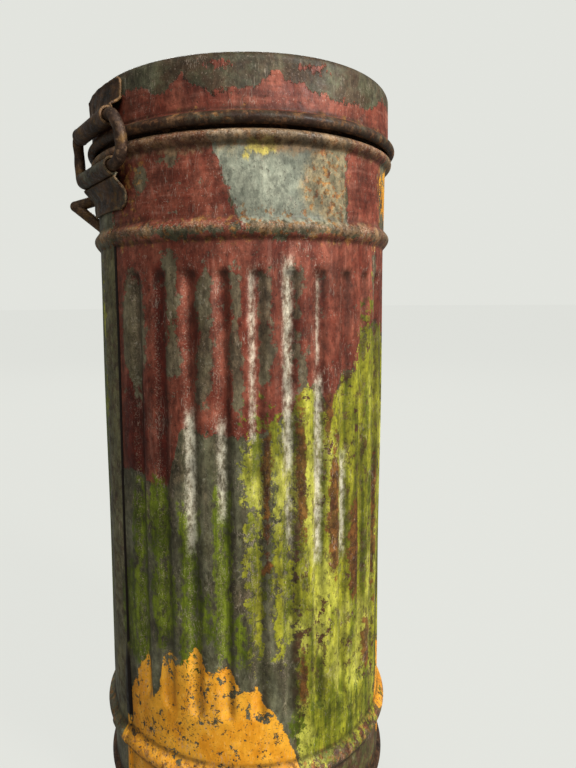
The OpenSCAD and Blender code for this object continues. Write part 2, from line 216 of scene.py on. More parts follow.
def stroke(theta, z, at, half_wide, low, high):
    """Distance inside an upright stripe with soft ends."""
    dx = half_wide - np.abs(turn_of(theta - at)) * 1.015
    dz = np.minimum(z - low, high - z) * 0.35
    return np.minimum(dx, dz)


def any_of(*fields):
    out = fields[0]
    for f in fields[1:]:
        out = np.maximum(out, f)
    return out


def all_of(*fields):
    out = fields[0]
    for f in fields[1:]:
        out = np.minimum(out, f)
    return out


def level(theta, points):
    """A height that follows (angle, height) points round the can."""
    a = np.array([p[0] for p in points], float)
    h = np.array([p[1] for p in points], float)
    return np.interp(np.mod(theta + 60.0, 360.0) - 60.0, a, h)


RED_FOOT = [
    (-60, 137), (-51, 136), (-40, 135), (-28, 133), (-25, 141), (-22, 154), (-12, 152), (2, 150),
    (12, 157), (17, 158), (20, 166), (25, 169), (31, 160), (38, 172), (46, 173), (49, 186), (62, 188),
    (75, 184), (100, 150), (130, 120), (165, 138), (195, 176), (215, 196), (235, 222), (300, 222),
]
ORANGE_TOP = [
    (-60, 30), (-51.5, 43), (-48, 54), (-45, 61), (-39, 62), (-37, 50), (-35, 52), (-32, 66),
    (-25, 69), (-18, 71), (-10, 68), (-3, 64), (4, 58), (9.5, 51), (14, 43), (17.5, 34), (20, 22),
    (23, 0), (300, 0),
]
LID_RED = [
    (-60, 262), (-40, 266), (-33, 266), (-26, 263.5), (-18, 268), (-8, 263), (3, 262.5), (10, 267),
    (20, 266), (27, 262), (40, 261.5), (52, 264), (60, 269), (75, 267), (110, 262), (160, 268),
    (200, 261), (250, 266), (300, 262),
]


def paint_fields(theta, z):
    """Each paint's own field, in millimetres inside its edge, for points on the wall and the lid, together
    with fields of painted shade and painted highlight.
    """
    f = {}
    t = turn_of(theta)
    right_of_seam = np.where(np.mod(theta + 51.3, 360) < 283, 6.0, -6.0)
    wall = np.minimum(218.5 - z, z - 5.0)
    hidden = ease((np.abs(t) - 80) / 12)
    wander = hidden * (7 * np.sin(np.radians(t * 13)) + 4 * np.sin(np.radians(t * 29 + 40)))
    body_red = all_of(z - level(theta, RED_FOOT) + wander, wall, right_of_seam)
    edge = -9.9 + (247.5 - z) * 0.37
    neck_left = all_of(edge - t, t + 52.0, z - 221.0, 250.5 - z)
    neck_right = all_of(t - 37.6, 61.5 - t, z - 221.0, 250.5 - z)
    neck_back = all_of(30 - np.abs(turn_of(theta - 170)), z - 221.0, 250.5 - z)
    on_lid = (z > 251.0)
    lid_red = any_of(level(theta, LID_RED) - z, blob(theta, z, (22, 270), (4, 2)),
                     blob(theta, z, (-8, 270.5), (4, 1.5)))
    lid_red = np.minimum(lid_red, np.where(z > 256.2, 5.0, -5.0))
    f["f_red"] = np.where(on_lid, lid_red, any_of(body_red, neck_left, neck_right, neck_back))
    f["f_grey"] = any_of(
        blob(theta, z, (-42, 188), (8.0, 28)) - 1.8,
        stroke(theta, z, -24.4, 2.5, 172, 214),
        stroke(theta, z, -13.0, 2.6, 166, 207),
        stroke(theta, z, -2.0, 1.6, 160, 205),
        stroke(theta, z, 7.4, 2.0, 170, 208),
        stroke(theta, z, 18.5, 1.6, 176, 206),
        stroke(theta, z, 20.5, 1.3, 158, 180),
        stroke(theta, z, 58.0, 2.0, 186, 212),
        blob(theta, z, (-36, 237), (2.4, 3.2)) + 0.6,
        blob(theta, z, (-24, 243), (3.0, 2.0)),
        blob(theta, z, (120, 195), (14, 18)),
        blob(theta, z, (-170, 200), (12, 16)),
        blob(theta, z, (168, 236), (8, 6)),
    )
    f["f_deep"] = any_of(
        blob(theta, z, (-42.5, 152), (6.5, 22)),
        stroke(theta, z, -29.3, 2.2, 134, 208),
        blob(theta, z, (150, 160), (10, 22)),
    )
    f["f_green"] = any_of(
        blob(theta, z, (-41, 116), (4.2, 17)),
        blob(theta, z, (-31.4, 118), (4.6, 15)),
        stroke(theta, z, -20.0, 3.2, 66, 124),
        stroke(theta, z, -7.6, 3.0, 70, 134),
        blob(theta, z, (-45.5, 82), (8, 20)),
        blob(theta, z, (-30.5, 90), (5.5, 16)),
        blob(theta, z, (-15, 88), (3.5, 9)),
        blob(theta, z, (-1.5, 80), (2.4, 9)),
        blob(theta, z, (-72, 160), (6, 60)) - 1.0,
        blob(theta, z, (-82, 100), (9, 70)),
        blob(theta, z, (-105, 150), (13, 60)),
        blob(theta, z, (-150, 110), (20, 60)),
        blob(theta, z, (150, 70), (22, 44)),
        blob(theta, z, (36, 44), (20, 14)),
    )
    below = np.minimum(level(theta, RED_FOOT) - z, 9.0)
    lime_zone = all_of(below, t - 18.5, 125 - np.abs(t), z - 28.0) - 1.2
    f["f_lime"] = any_of(
        np.minimum(lime_zone, 3.0),
        stroke(theta, z, 3.6, 2.9, 70, 156),
        stroke(theta, z, 13.2, 4.6, 98, 158),
        blob(theta, z, (13.5, 88), (4.6, 16)),
        blob(theta, z, (24.5, 100), (6.5, 13)) + 1.5,
        blob(theta, z, (55, 150), (8.5, 36)) + 1.5,
        blob(theta, z, (40, 43), (22, 14)) - 2.5,
        stroke(theta, z, -65.5, 1.6, 150, 209) - 0.6,
    )
    f["f_under"] = all_of(below, t - 17.0, 130 - np.abs(t))
    f["f_dark"] = any_of(
        stroke(theta, z, 7.6, 1.0, 104, 152),
        blob(theta, z, (33.5, 122), (2.8, 24)),
        blob(theta, z, (30.5, 152), (1.4, 12)),
        blob(theta, z, (45.5, 104), (4.0, 19)),
        blob(theta, z, (54.5, 63), (2.6, 10)),
        blob(theta, z, (20.0, 136), (1.2, 16)),
        blob(theta, z, (21.0, 60), (1.2, 10)),
        blob(theta, z, (62.5, 110), (1.8, 26)),
        blob(theta, z, (90, 120), (9, 18)),
    )
    fingers = 2.6 * np.cos(np.radians((t + 18.2) * 32)) * ease((z - 50) / 10)
    over_seam = np.where(np.mod(theta + 52.5, 360) < 300, 6.0, -6.0)
    f["f_orange"] = any_of(
        all_of(level(theta, ORANGE_TOP) - z + fingers, over_seam, z + 4.0),
        blob(theta, z, (80, 33), (15.5, 16)),
        blob(theta, z, (75, 236), (13, 10)),
        blob(theta, z, (-150, 150), (14, 26)),
        blob(theta, z, (195, 45), (20, 22)),
    )
    # Pale streaks on the flutes' left walls: partly worn bare steel, partly a painted highlight.
    f["f_pale"] = any_of(
        stroke(theta, z, -18.7, 1.15, 112, 158) + 0.25,
        stroke(theta, z, -7.5, 1.0, 124, 156),
        stroke(theta, z, 3.0, 0.9, 150, 207) - 0.35,
        stroke(theta, z, 15.1, 1.35, 140, 209) + 0.2,
        stroke(theta, z, 15.6, 0.7, 114, 132),
        stroke(theta, z, 26.6, 1.5, 106, 170) - 0.1,
        stroke(theta, z, 38.4, 1.2, 104, 142) - 0.3,
        stroke(theta, z, 26.4, 0.8, 176, 205) - 0.5,
    )
    blue = all_of(t - edge, 37.9 - t, z - 222.0, 250.5 - z)
    f["f_blue"] = any_of(blue, all_of(35 - np.abs(t - 112), z - 222.0, 250.5 - z))
    f["f_yellow"] = any_of(
        blob(theta, z, (6.5, 246), (5.0, 2.4)),
        blob(theta, z, (1.5, 243), (2.0, 2.0)) - 0.4,
    )
    f["f_tarnish"] = any_of(blob(theta, z, (31, 236), (11, 15)), blob(theta, z, (10, 247), (18, 3)))
    f["f_rusty"] = any_of(
        blob(theta, z, (-37, 246), (2.2, 3.5)) + 1.5,
        blob(theta, z, (-39, 230), (2.0, 7)) + 0.5,
        blob(theta, z, (30, 234), (9, 13)),
        blob(theta, z, (14, 224), (12, 3)),
        blob(theta, z, (-45, 238), (6, 12)),
        blob(theta, z, (63, 236), (5, 14)),
        6.5 - np.abs(z - 220.0) * 1.6,
        4.0 - np.abs(z - 249.5) * 1.3,
        5.0 - np.abs(z - 27.4) * 1.2,
        4.0 - np.abs(z - 254.5) * 1.5,
        6.0 - np.abs(z - 4.0),
    )
    # Painted shade: a near-black line along the seam's lapped edge, standing for the shade in the slit under
    # it.
    f["f_seam_shade"] = all_of(
        np.where(z > 66, 0.45, 0.45 + (66 - z) * 0.055) - np.abs(t + 51.1 + np.where(z > 66, 0, 0.7)) * 1.0,
        z - 36.0, 217.0 - z,
    )
    near_z = lambda at, wide: np.exp(-((z - at) / wide) ** 2)
    # Painted shade, with some dirt: darker under the lid's bead and at its top edge, in the creases beside
    # the beads, towards the foot, and along the seam and the hinge.
    dirt_and_shade = 0.75 * near_z(257.1, 0.9) + 0.8 * near_z(251.9, 0.9) + 0.45 * near_z(246.6, 1.0)
    dirt_and_shade = dirt_and_shade + 0.45 * near_z(223.9, 0.8) + 0.6 * near_z(217.0, 0.8) + 0.8 * near_z(31.8, 1.0)
    dirt_and_shade = dirt_and_shade + 0.9 * near_z(22.9, 1.0) + 0.9 * near_z(7.0, 3.0) + 0.6 * near_z(275.0, 2.2)
    dirt_and_shade = dirt_and_shade + 0.5 * np.exp(-((t + 64.0) / 0.6) ** 2) * (z < 229) + 0.45 * np.exp(-((t + 49.2) / 2.0) ** 2)
    # Flutes: painted shade along each flute's right wall and at its rounded top end.
    place = np.mod(t + SIGHT - 90.0, 360.0) / 11.25 - 0.5
    near = np.round(place)
    dx = (place - near) * 11.4
    fluted = (near > 0.4) & (near < 30.6) & (z > 49) & (z < 207.5)
    dirt_and_shade = dirt_and_shade + np.where(fluted, 0.50 * np.exp(-((dx - 1.7) / 1.0) ** 2), 0)
    tips = np.exp(-(dx / 2.0) ** 2) * np.exp(-((z - 206.2) / 1.6) ** 2)
    dirt_and_shade = dirt_and_shade + np.where((near > 0.4) & (near < 30.6), 0.65 * tips, 0)
    f["f_dirt_and_shade"] = dirt_and_shade
    f["f_band"] = any_of(3.0 - np.abs(z - 249.2), 2.4 - np.abs(z - 220.6))
    f["f_upper"] = z - 217.0
    f["f_rim"] = np.where(z > 251.8, 256.4 - z, -2.0)
    f["f_high"] = ease((z - 42) / 22)
    # Rubbed wear and painted highlight: lighter on the beads' crests and on each flute's left wall, the side
    # the light falls on.
    beads = 0.9 * near_z(221.2, 1.5) + 0.9 * near_z(249.6, 1.3) + 0.5 * near_z(28.0, 1.6)
    f["f_rub_and_highlight"] = beads + np.where(fluted, 0.6 * np.exp(-((dx + 1.9) / 1.0) ** 2), 0)
    f["f_strip"] = all_of(6.5 - np.abs(t + 57.6), 217.5 - z, z - 30)
    return f


# ---------------------------------------------------------------- meshes
def sheet_of(name, grid, theta, z_for, inside):
    """A closed ring of quads through a (rows, columns, 3) grid, with the paint fields on it."""
    rows, cols = grid.shape[:2]
    i, j = np.meshgrid(np.arange(rows - 1), np.arange(cols), indexing="ij")
    k = (j + 1) % cols
    quads = np.stack([i * cols + j, i * cols + k, (i + 1) * cols + k, (i + 1) * cols + j], -1)
    mesh = bpy.data.meshes.new(name)
    mesh.from_pydata((grid.reshape(-1, 3) * MM).tolist(), [], quads.reshape(-1, 4).tolist())
    fields = paint_fields(theta, z_for)
    fields["f_inside"] = np.broadcast_to(inside, z_for.shape).astype(float)
    for key, value in fields.items():
        a = mesh.attributes.new(key, "FLOAT", "POINT")
        a.data.foreach_set("value", np.clip(value, -12, 12).astype(np.float32).ravel())
    mesh.polygons.foreach_set("use_smooth", [True] * len(mesh.polygons))
    mesh.update()
    obj = bpy.data.objects.new(name, mesh)
    bpy.context.scene.collection.objects.link(obj)
    return obj


def ease(v):
    v = np.clip(v, 0, 1)
    return v * v * (3 - 2 * v)


def ridge(z, at, half, height):
    """A rolled bead's bulge."""
    v = np.clip(1 - ((z - at) / half) ** 2, 0, 1)
    return height * v ** 1.4


def wall_radius(beta, z):
    """The body's outside, with its beads, flutes, lapped seam and small dents."""
    r = 58.6 - 0.6 * ease((z - 22) / 10)
    r = r + 0.2 * ease((z - 219) / 3) - 1.0 * ease((z - 250.3) / 1.6)
    r = r + ridge(z, 27.4, 4.4, 2.7) + ridge(z, 220.4, 3.7, 2.1) + ridge(z, 249.2, 2.9, 2.35)
    place = np.mod(beta - 90.0, 360.0) / 11.25 - 0.5
    near = np.round(place)
    real = (near >= 0.5) & (near <= 30.5)
    dx = (place - near) * 11.25 * 1.012
    dz = np.maximum(np.maximum(52.0 - z, z - 204.6), 0)
    d = np.sqrt(dx ** 2 + dz ** 2)
    groove = np.where(d < 3.7, 0.5 * (1 + np.cos(np.pi * np.minimum(d, 3.7) / 3.7)), 0.0)
    worn = 1.0 + 0.12 * np.sin(near * 2.3) + 0.05 * np.sin(z * 0.05 + near)
    r = r - np.where(real, 1.5 * worn * groove ** 0.85, 0.0)
    lap = ease((beta - 83.4) / 1.2) * (1 - ease((beta - 95.98) / 0.1))
    low = ease((z - 6) / 3) * (1 - ease((z - 229) / 2))
    lifted = 0.6 + 0.55 * np.exp(-((z - 52) / 14) ** 2) * ease((beta - 92) / 4)
    r = r + lap * low * lifted
    b = np.radians(beta)
    r = r + 0.14 * np.sin(3 * b + z * 0.021) * np.sin(z * 0.034 + 2 * b)
    r = r + 0.10 * np.sin(7 * b - z * 0.05 + 1.0)
    r = r - 0.5 * np.exp(-(((beta - 171) / 9) ** 2 + ((z - 232) / 9) ** 2))
    r = r - 0.4 * np.exp(-(((beta - 118) / 6) ** 2 + ((z - 60) / 20) ** 2))
    return r


def make_wall():
    beta = np.arange(444) * (360 / 444)
    beta = np.sort(np.concatenate([beta, [95.9, 95.99, 96.07, 96.2, 83.6, 84.3]]))
    z = np.concatenate([
        np.linspace(5.3, 21.5, 8), np.linspace(22.4, 33, 16), np.linspace(34.4, 46, 7),
        np.linspace(47.4, 56, 9), np.linspace(58.4, 198, 60), np.linspace(199.4, 209.6, 11),
        np.linspace(211, 215.5, 4), np.linspace(216.2, 224.8, 15), np.linspace(226.4, 244.8, 11),
        np.linspace(245.9, 252.4, 14), np.linspace(253.6, 262.4, 5),
    ])
    inside = np.concatenate([
        np.linspace(262.4, 253, 4), np.linspace(251.6, 246.6, 6), np.linspace(240, 226, 3),
        np.linspace(223.6, 217, 6), [210, 204, 200, 160, 110, 62, 54, 48, 36],
        np.linspace(31.4, 23.4, 6), [15, 5.3],
    ])
    b_out, z_out = np.meshgrid(beta, z)
    b_in, z_in = np.meshgrid(beta, inside)
    r = np.concatenate([wall_radius(b_out, z_out), wall_radius(b_in, z_in) - 0.8])
    b, zz = np.concatenate([b_out, b_in]), np.concatenate([z_out, z_in])
    r[len(z)] = r[len(z) - 1] - 0.8
    a = np.radians(b)
    grid = np.stack([r * np.cos(a), r * np.sin(a), zz], -1)
    wall = sheet_of("can_wall", grid, b - SIGHT, zz, (np.arange(len(zz)) >= len(z))[:, None])
    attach(wall, "body")
    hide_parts("body_shell")
    return wall


def make_lid():
    """Flat-topped lid: rounded edge, straight skirt, rolled bead at its foot, and its inside."""
    prof = [(0.4, 275.0), (8, 275.0), (18, 274.98), (28, 274.94), (36, 274.9), (42, 274.86),
            (46, 274.8), (48, 274.55), (49.2, 274.2), (50.4, 274.35), (52, 274.7), (54, 274.85),
            (56.2, 274.8)]
    for k in range(1, 9):
        a = math.radians(90 - 90 * k / 8)
        prof.append((56.2 + 2.8 * math.cos(a), 272.0 + 2.8 * math.sin(a)))
    prof += [(59.0, zz) for zz in np.linspace(271, 257.2, 17)]
    for zz in np.linspace(256.7, 252.3, 13):
        prof.append((59.0 + 2.5 * max(0.0, 1 - ((zz - 254.0) / 2.6) ** 2) ** 0.8, zz))
    prof += [(59.6, 252.1), (58.9, 252.4), (58.5, 253.4)]
    prof += [(58.2, zz) for zz in (256, 262, 268, 272.5)]
    prof += [(56.5, 274.0), (50, 273.7), (40, 274.1), (20, 274.2), (0.4, 274.2)]
    prof = np.array(prof, float)
    inner_rows = (np.arange(len(prof)) >= len(prof) - 10)[:, None]
    beta = np.arange(384) * (360 / 384)
    beta = np.sort(np.concatenate([beta, [73.0, 73.3, 106.7, 107.0]]))
    b, _ = np.meshgrid(beta, prof[:, 0])
    r = np.repeat(prof[:, :1], len(beta), 1)
    z = np.repeat(prof[:, 1:], len(beta), 1)
    a = np.radians(b)
    outer = ease((r - 40) / 19)
    r = r + outer * (0.16 * np.sin(2 * a + 0.6) + 0.10 * np.sin(5 * a + z * 0.2))
    r = r - outer * 0.55 * np.exp(-(((b - 160) / 7) ** 2 + ((z - 266) / 5) ** 2))
    r = r - outer * 0.4 * np.exp(-(((b - 196) / 5) ** 2 + ((z - 262) / 4) ** 2))
    beside = np.abs(np.mod(b - 90 + 180, 360) - 180) * math.radians(59.0)
    skirt = (r > 58.8) & (z > 256) & (z < 272.4)
    r = r + skirt * 0.6 * (1 - ease((beside - 17.1) / 0.45)) * ease((272.2 - z) / 0.6)
    z = z - (1 - ease((r - 30) / 25)) * 0.15 * (1 + np.sin(3 * a + r * 0.08)) * (z > 274.5)
    grid = np.stack([r * np.cos(a), r * np.sin(a), z], -1)
    lid = sheet_of("lid_skin", grid, b - SIGHT, z, inner_rows)
    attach(lid, "lid")
    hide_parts("lid_shell")
    return lid


def simple_mesh(name, points, quads, body, *stands_for):
    mesh = bpy.data.meshes.new(name)
    faces = quads if isinstance(quads, list) else quads.tolist()
    mesh.from_pydata((np.asarray(points, float) * MM).tolist(), [], faces)
    mesh.polygons.foreach_set("use_smooth", [True] * len(mesh.polygons))
    mesh.update()
    obj = bpy.data.objects.new(name, mesh)
    bpy.context.scene.collection.objects.link(obj)
    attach(obj, body)
    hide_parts(*stands_for)
    return obj


def smooth_loop(points, each):
    """Points along a smooth closed curve through the given ones."""
    p = np.array(points, float)
    out = []
    for i in range(len(p)):
        a, b, c, d = p[i - 1], p[i], p[(i + 1) % len(p)], p[(i + 2) % len(p)]
        for k in range(each):
            t = k / each
            out.append(0.5 * (2 * b + (c - a) * t + (2 * a - 5 * b + 4 * c - d) * t ** 2
                              + (3 * b - a - 3 * c + d) * t ** 3))
    return np.array(out)


def make_link():
    """The closed wire link: two bars in the barrels and two legs that swell sideways round the beads."""
    wire_r = 2.03
    half = [(6, 62.25, 259.2), (15, 62.25, 259.2), (18.2, 62.2, 258.8), (19.9, 61.8, 256.8),
            (21.2, 61.1, 253.8), (21.9, 60.8, 250.6), (21.8, 60.65, 247.4), (20.6, 60.8, 245.0),
            (18.3, 61.2, 243.4), (15, 61.4, 243.1), (6, 61.4, 243.1)]
    path = smooth_loop(half + [(-x, y, z) for x, y, z in half[::-1]], 7)
    ahead = np.roll(path, -1, 0) - np.roll(path, 1, 0)
    ahead /= np.linalg.norm(ahead, axis=1)[:, None]
    side = np.cross(ahead, [0.0, 0.94, -0.34])
    side /= np.linalg.norm(side, axis=1)[:, None]
    up = np.cross(side, ahead)
    turn = np.linspace(0, 2 * np.pi, 19)[:-1]
    i = np.arange(len(path))
    r = wire_r + 0.06 * np.sin(i * 0.41) + 0.05 * np.sin(i * 0.17 + 1)
    ring = path[:, None] + r[:, None, None] * (side[:, None] * np.cos(turn)[None, :, None]
                                              + up[:, None] * np.sin(turn)[None, :, None])
    n, m = ring.shape[:2]
    a, b = np.meshgrid(np.arange(n), np.arange(m), indexing="ij")
    on, across = (a + 1) % n, (b + 1) % m
    quads = np.stack([a * m + b, a * m + across, on * m + across, on * m + b], -1)
    return simple_mesh("link_wire", ring.reshape(-1, 3), quads.reshape(-1, 4), "link", "hinge_link")


def make_spring():
    """The coil under the rest plate, built at one length; the real one shortens as the plate sinks."""
    low, high, turns, each = 3.15, 35.65, 4, 44
    coil_r, wire_r = 30, 1.3
    i = np.arange(turns * each + 1)
    a = 2 * np.pi * i / each
    z = low + (high - low) * i / i[-1]
    b = np.linspace(0, 2 * np.pi, 15)[:-1]
    r = coil_r + wire_r * np.cos(b)[None, :]
    ring = np.stack([r * np.cos(a)[:, None], r * np.sin(a)[:, None],
                     z[:, None] + wire_r * np.sin(b)[None, :]], -1)
    n, m = ring.shape[:2]
    u, v = np.meshgrid(np.arange(n - 1), np.arange(m), indexing="ij")
    w = (v + 1) % m
    quads = np.stack([u * m + v, (u + 1) * m + v, (u + 1) * m + w, u * m + w], -1).reshape(-1, 4).tolist()
    quads += [list(range(m)), list(range((n - 1) * m, n * m))[::-1]]
    spring_coil = simple_mesh("spring_coil", ring.reshape(-1, 3), quads, "body", "base_spring")
    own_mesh(spring_coil)
    return spring_coil


def make_hinge_plate(name, body, stands_for, drum, bar, far_z, side, corner, swell):
    """A bent plate: lies on the drum, swells out to the bar and rolls round it. Its edges are curled."""
    across, rolled, flat = 45, 26, 30
    half_wide, reach = 15.6, 2.62
    bar_y, bar_z = bar
    x = np.linspace(-1, 1, across)
    rows = []
    for k in range(flat):
        z = far_z + (bar_z + side * 3.4 - far_z) * k / flat
        end = abs(z - far_z)
        rounded = math.sqrt(max(0.0, corner ** 2 - (corner - end) ** 2))
        wide = half_wide - (corner - rounded if end < corner else 0.0)
        near = ease(1 - (abs(z - bar_z) - 3.0) / swell)
        xs = x * wide
        lying = np.sqrt((drum + 0.55) ** 2 - xs ** 2)
        y = lying + (bar_y - 0.4 - lying) * near ** 1.3
        y = y + 0.45 * np.exp(-((wide - np.abs(xs)) / 0.8) ** 2) + 0.35 * math.exp(-(end / 0.8) ** 2)
        y = y - 0.5 * np.exp(-(((xs - 6.5) / 1.7) ** 2 + ((end - 5.2) / 1.7) ** 2) ** 2)
        y = y + 0.08 * np.sin(xs * 0.9 + z)
        rows.append(np.stack([xs, y, np.full(across, z)], -1))
    for k in range(rolled):
        a = math.radians(118 - 250 * k / (rolled - 1))
        xs = x * (half_wide - 0.6 * min(1.0, k / 4))
        curl = 0.16 * np.exp(-((15.2 - np.abs(xs)) / 0.7) ** 2)
        y = bar_y + (reach + curl) * math.cos(a)
        z = bar_z + side * (reach + curl) * math.sin(a)
        rows.append(np.stack([xs, y, z], -1))
    grid = np.array(rows)
    n, m = grid.shape[:2]
    a, b = np.meshgrid(np.arange(n - 1), np.arange(m - 1), indexing="ij")
    quads = np.stack([a * m + b, a * m + b + 1, (a + 1) * m + b + 1, (a + 1) * m + b], -1)
    if side > 0:
        quads = quads[..., ::-1]
    obj = simple_mesh(name, grid.reshape(-1, 3), quads.reshape(-1, 4), body, stands_for)
    thick = obj.modifiers.new("sheet", "SOLIDIFY")
    thick.thickness = 0.85 * MM
    thick.offset = 0.0
    return obj


# ---------------------------------------------------------------- materials
def layered_paint(name, is_lid):
    """Coats over sheet steel: grey-green, red-brown, greens, lime and orange, each worn through, with painted
    shade in creases, along the seam and in the flutes, and painted highlights on the beads and flute walls.
    """
    s = Shader(name)
    broad = s.noise(34, 3, 0.55)
    coarse = s.noise(120, 5, 0.68, stretch=(1, 1, 0.55))
    fine = s.noise(520, 5, 0.7, stretch=(1, 1, 0.6))
    grit = s.noise(1900, 3, 0.6)
    drawn = s.noise(330, 4, 0.62, stretch=(1, 1, 0.10))
    flake = s.noise(260, 6, 0.74, shift=5.2)

    steel = s.mix(s.step(fine, 0.4, 0.62), (0.060, 0.042, 0.026), (0.155, 0.105, 0.062))
    rust = s.mix(s.step(fine, 0.38, 0.62), (0.085, 0.024, 0.008), (0.30, 0.105, 0.028))
    primer = s.mix(s.step(coarse, 0.36, 0.64), (0.085, 0.080, 0.040), (0.170, 0.165, 0.098))
    primer = s.mix(s.step(drawn, 0.40, 0.66, 0.0, 0.55), primer, (0.070, 0.052, 0.032))
    primer = s.mix(s.step(flake, 0.58, 0.66, 0.0, 0.55), primer, (0.26, 0.25, 0.18))
    colour = s.mix(s.step(broad, 0.50, 0.66, 0.0, 0.55), primer, steel)

    under = s.step(s.field("f_under"), -1.0, 2.0)
    under_colour = s.mix(s.step(flake, 0.42, 0.60), (0.100, 0.036, 0.013), (0.120, 0.118, 0.030))
    colour = s.mix(s.math("MULTIPLY", under, 0.8), colour, under_colour)
    if is_lid:
        brown_patch = s.step(s.noise(48, 5, 0.7, stretch=(1, 1, 1.6), shift=17.0), 0.44, 0.60)
        colour = s.mix(s.math("MULTIPLY", brown_patch, 0.75), colour, (0.085, 0.042, 0.022))
        colour = s.scale(colour, 0.82)
    strip = s.ragged(s.field("f_strip"), coarse, fine, 2.0, 1.0)
    colour = s.mix(s.math("MULTIPLY", strip, 0.8), colour,
                   s.mix(s.step(flake, 0.5, 0.6), (0.115, 0.100, 0.036), (0.070, 0.040, 0.018)))
    blue = s.ragged(s.field("f_blue"), coarse, fine, 6.0, 3.0)
    blue_colour = s.mix(s.step(flake, 0.36, 0.62), (0.205, 0.220, 0.165), (0.345, 0.355, 0.265))
    tarnish = s.math("MULTIPLY", s.ragged(s.field("f_tarnish"), coarse, fine, 14.0, 10.0, 3.0), 0.7)
    blue_colour = s.mix(tarnish, blue_colour,
                        s.mix(s.step(flake, 0.40, 0.60), (0.150, 0.115, 0.050), (0.34, 0.235, 0.100)))
    colour = s.mix(blue, colour, blue_colour)

    red = s.ragged(s.field("f_red"), coarse, fine, 11.0, 7.0)
    grey = s.ragged(s.field("f_grey"), coarse, flake, 9.0, 9.0)
    worn = s.step(flake, 0.615, 0.65)
    red = s.math("MULTIPLY", red, s.math("SUBTRACT", 1.0, s.math("MULTIPLY", grey, 0.86)))
    red = s.math("MULTIPLY", red, s.math("SUBTRACT", 1.0, s.math("MULTIPLY", worn, 0.65)))
    red_colour = s.mix(s.step(coarse, 0.34, 0.66), (0.135, 0.026, 0.014), (0.270, 0.078, 0.046))
    combed = s.noise(520, 4, 0.62, stretch=(0.13, 0.13, 1.0), shift=13.0)
    marks = s.mix(s.step(s.field("f_upper"), -1.0, 1.0), drawn, combed)
    red_colour = s.mix(s.step(marks, 0.46, 0.68, 0.0, 0.55), red_colour, (0.085, 0.018, 0.010))
    red_colour = s.mix(s.step(marks, 0.30, 0.44, 0.40, 0.0), red_colour, (0.370, 0.150, 0.105))
    deep = s.ragged(s.field("f_deep"), coarse, fine, 7.0, 4.0, 0.9)
    red_colour = s.mix(s.math("MULTIPLY", deep, 0.85), red_colour, (0.085, 0.009, 0.004))
    colour = s.mix(red, colour, red_colour)

    green = s.ragged(s.field("f_green"), coarse, fine, 8.0, 8.0, 0.8)
    green = s.math("MULTIPLY", green, s.step(fine, 0.36, 0.50, 0.25, 0.95))
    green_colour = s.mix(s.step(drawn, 0.4, 0.62), (0.070, 0.098, 0.003), (0.150, 0.190, 0.010))
    colour = s.mix(green, colour, green_colour)

    lime = s.ragged(s.field("f_lime"), coarse, flake, 17.0, 22.0, 0.6)
    gone = s.step(s.noise(300, 5, 0.75, stretch=(1, 1, 0.5), shift=14.0), 0.54, 0.60)
    lime = s.math("MULTIPLY", lime, s.math("SUBTRACT", 1.0, s.math("MULTIPLY", gone, 0.8)))
    lime_colour = s.mix(s.step(drawn, 0.36, 0.64), (0.130, 0.150, 0.008), (0.360, 0.345, 0.022))
    cores = s.noise(62, 4, 0.6, stretch=(1, 1, 0.35), shift=19.0)
    lime_colour = s.mix(s.step(cores, 0.50, 0.62, 0.0, 0.75), lime_colour, (0.56, 0.54, 0.085))
    lime_colour = s.scale(lime_colour, s.step(cores, 0.34, 0.50, 0.55, 1.0))
    colour = s.mix(s.math("MULTIPLY", lime, 0.93), colour, lime_colour)

    dark = s.ragged(s.field("f_dark"), coarse, flake, 7.0, 8.0, 0.5)
    dark_colour = s.mix(s.step(flake, 0.45, 0.62), (0.070, 0.022, 0.010), (0.200, 0.070, 0.018))
    colour = s.mix(s.math("MULTIPLY", dark, 0.9), colour, dark_colour)

    orange = s.ragged(s.field("f_orange"), coarse, flake, 9.0, 11.0)
    high = s.step(s.field("f_high"), 0.0, 1.0, 0.0, 0.035)
    chips = s.step(s.math("ADD", s.noise(210, 5, 0.72, shift=21.0), high), 0.590, 0.602)
    flecked = s.step(s.noise(70, 3, 0.6, shift=23.0), 0.44, 0.60, -0.04, 0.03)
    chips = s.math("MAXIMUM", chips,
                   s.step(s.math("ADD", s.noise(820, 5, 0.75, shift=4.0), flecked), 0.612, 0.630))
    chips = s.math("MAXIMUM", chips,
                   s.step(s.noise(330, 5, 0.7, stretch=(0.6, 0.6, 2.5), shift=6.0), 0.67, 0.68))
    orange = s.math("MULTIPLY", orange, s.math("SUBTRACT", 1.0, chips))
    orange_colour = s.mix(s.step(coarse, 0.35, 0.62), (0.74, 0.285, 0.012), (0.92, 0.430, 0.032))
    orange_colour = s.mix(s.step(fine, 0.56, 0.68, 0.0, 0.5), orange_colour, (0.86, 0.48, 0.10))
    orange_colour = s.scale(orange_colour, s.step(s.field("f_upper"), -1.0, 1.0, 1.0, 0.72))
    colour = s.mix(orange, colour, orange_colour)

    yellow = s.ragged(s.field("f_yellow"), coarse, fine, 4.0, 5.0, 0.6)
    colour = s.mix(s.math("MULTIPLY", yellow, 0.85), colour, (0.62, 0.50, 0.10))

    specks = s.step(s.noise(420, 4, 0.7, shift=9.4), 0.50, 0.60)
    rusty = s.ragged(s.field("f_rusty"), coarse, flake, 12.0, 12.0, 1.2)
    rusty = s.math("MULTIPLY", rusty, specks)
    rust_light = s.mix(s.step(flake, 0.42, 0.60), rust, (0.42, 0.21, 0.055))
    colour = s.mix(s.math("MULTIPLY", rusty, 0.85), colour, rust_light)

